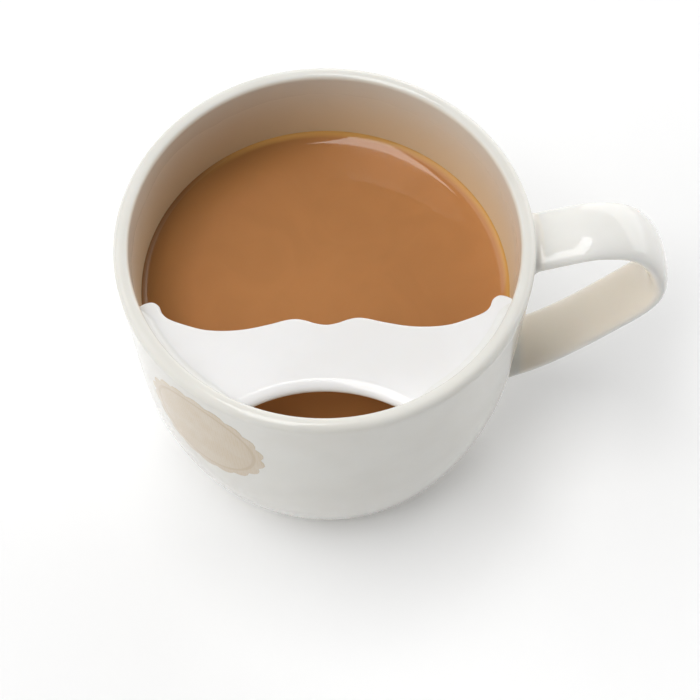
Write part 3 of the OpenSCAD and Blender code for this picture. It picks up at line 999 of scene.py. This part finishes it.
# The thin edge: painted light on faces that turn one fixed way, painted shade on the rest.
facing = vectors(tree, "DOT_PRODUCT", coordinates(tree, "Normal"), dull_way, result="Value")
lit = ramp(tree, facing, *dull_to_lit)
thin = band_mask(tree, *thin_edge)
colour = blend_colour(tree, thin, colour, blend_colour(tree, lit, tea_painted_shade, tea_gold))
tree.links.new(colour, shader.inputs["Base Color"])
dull = maths(tree, "MULTIPLY", thin, maths(tree, "SUBTRACT", 1, lit))
tree.links.new(maths(tree, "MULTIPLY_ADD", dull, dull_rough, tea_rough), shader.inputs["Roughness"])
add_bump(tree, shader, noise(tree, spot, calm_scale, detail=1.0), calm_height)
dress(tea, tea_look)

# %% The print's material
print_beige, print_line = (0.55, 0.435, 0.29), (0.49, 0.38, 0.25)
line_start, line_end, line_soft, line_strength = 0.825, 0.85, 0.025, 0.7
dot_spacing, dot_r, gap_r, gap_ink = 0.45 * mm, 0.30, 0.5, 0.88
wash_scale, wash_range, thin_ink = 160.0, (0.2, 0.6), 0.85
print_look, tree, shader = start_material("print_under_glaze", **glass)
skin_of = lay_glass(tree, shader, usual_specks)
spot = coordinates(tree)
framed = node(tree, "Mapping", {"Vector": spot, "Location": (0, 0, print_z),
    "Rotation": (0, 0, -radians(print_turn)), "Scale": (print_w / 2, 1, print_h / 2)},
    vector_type="TEXTURE").outputs[0]
flat_spot = vectors(tree, "MULTIPLY", framed, (1, 0, 1))
reach = vectors(tree, "LENGTH", flat_spot, result="Value")
line = maths(tree, "MULTIPLY", ramp(tree, reach, line_start - line_soft, line_start),
    ramp(tree, reach, line_end, line_end + line_soft, 1, 0))
dots = node(tree, "TexVoronoi", {"Vector": spot, "Scale": 1 / dot_spacing, "Randomness": 0.25})
dotted = ramp(tree, dots.outputs["Distance"], dot_r, gap_r, 1, gap_ink)
wash = ramp(tree, noise(tree, spot, wash_scale, detail=4.0), *wash_range, thin_ink, 1)
colour = blend_colour(tree, maths(tree, "MULTIPLY", dotted, wash), white, print_beige)
colour = blend_colour(tree, maths(tree, "MULTIPLY", line, line_strength), colour, print_line)
tree.links.new(colour, shader.inputs["Base Color"])
dress(patch, print_look)

# %% [markdown]
# ## Floor, light and camera
#
# White china is lit with large soft sources, because small ones leave hard spots on the glaze.
# A narrow softbox hangs overhead and draws the bright arc on the tea. A wide one stands on the
# left and a second low behind on the right, and a pale floor throws light back up at the
# belly. Far from the cup the floor glows, so that it meets the room without an edge. The
# camera looks steeply down, as the eye does at a cup on a table.

# %% The floor
floor_size, floor_glow, glow_start, glow_full, grain_scale = 60, 0.9, 0.6, 1.6, 3.0
pale, paler, near_glow, far_glow = [(grey,) * 3 for grey in (0.9, 0.91, 0.07, 0.9)]
bpy.ops.mesh.primitive_plane_add(size=floor_size)
floor = only(bpy.context.object)
floor.name = "pale_floor"
floor_look, tree, shader = start_material("pale_floor", Roughness=0.6, IOR=1.45,
    Emission_Strength=floor_glow)
spot = coordinates(tree)
grain = noise(tree, spot, grain_scale, detail=2.0)
tree.links.new(blend_colour(tree, grain, pale, paler), shader.inputs["Base Color"])
far = ramp(tree, vectors(tree, "LENGTH", spot, result="Value"), glow_start, glow_full)
tree.links.new(blend_colour(tree, far, near_glow, far_glow), shader.inputs["Emission Color"])
dress(floor, floor_look)


# %% Three softboxes
def softbox(name, towards, distance, size, watts, turn=None):
    """A rectangular light at a distance in a direction from the cup, facing it. It stands level
    like a picture, or hangs overhead, turned by so many degrees from the cup's own axes."""
    place = Vector(towards).normalized() * distance
    bpy.ops.object.light_add(type="AREA", location=place)
    light = bpy.context.object
    light.name = light.data.name = name
    if turn is None:
        turned = place.to_track_quat("Z", "Y")
    else:
        turned = up.rotation_difference(place) @ Quaternion(up, radians(turn))
    light.rotation_euler = turned.to_euler()
    light.data.shape, (light.data.size, light.data.size_y) = "RECTANGLE", size
    light.data.energy = watts
    light.visible_camera = False
    print(f"{name}: {watts} W, {size[0]} by {size[1]} m")


softbox("top_softbox", (-0.18, -0.085, 1), 1.1, (0.27, 0.92), 5, turn=-15)
softbox("left_softbox", (-0.72, -0.1, 0.7), 1.5, (2.2, 1.4), 16.4)
softbox("back_softbox", (0.66, 0.7, 0.38), 1.6, (3, 1.15), 25.5)

# %% A soft white room, which lights the cup less than it shows
room_light, room_seen = 0.13, 1.0
world = bpy.data.worlds.new("soft_room")
bpy.context.scene.world = world
world.use_nodes = True
tree = world.node_tree
room = tree.nodes["Background"]
room.inputs["Color"].default_value = (1, 1, 1, 1)
room.inputs["Strength"].default_value = room_light
seen = node(tree, "Background", {"Color": (1, 1, 1, 1), "Strength": room_seen})
is_seen = node(tree, "LightPath").outputs["Is Camera Ray"]
mixed = node(tree, "MixShader", {0: is_seen, 1: room.outputs[0], 2: seen.outputs[0]})
tree.links.new(mixed.outputs[0], tree.nodes["World Output"].inputs["Surface"])
bpy.context.scene.view_settings.view_transform = "Standard"
print(f"the room lights with {room_light} and shows with {room_seen}")

# %% The camera
eye, aim, roll = Vector((-0.69, -230.3, 464.6)) * mm, Vector((5.74, -0.16, 24.5)) * mm, 0.2
bpy.ops.object.camera_add(location=eye)
camera = bpy.context.object
facing = (aim - eye).to_track_quat("-Z", "Y") @ Quaternion(up, radians(roll))
camera.rotation_euler = facing.to_euler()
camera.data.lens, camera.data.sensor_width = 103.2, 36
bpy.context.scene.camera = camera
distance = (aim - eye).length
camera_height = degrees(asin((eye - aim).z / distance))
print(f"camera {distance:.2f} m away, {camera_height:.0f} degrees up")
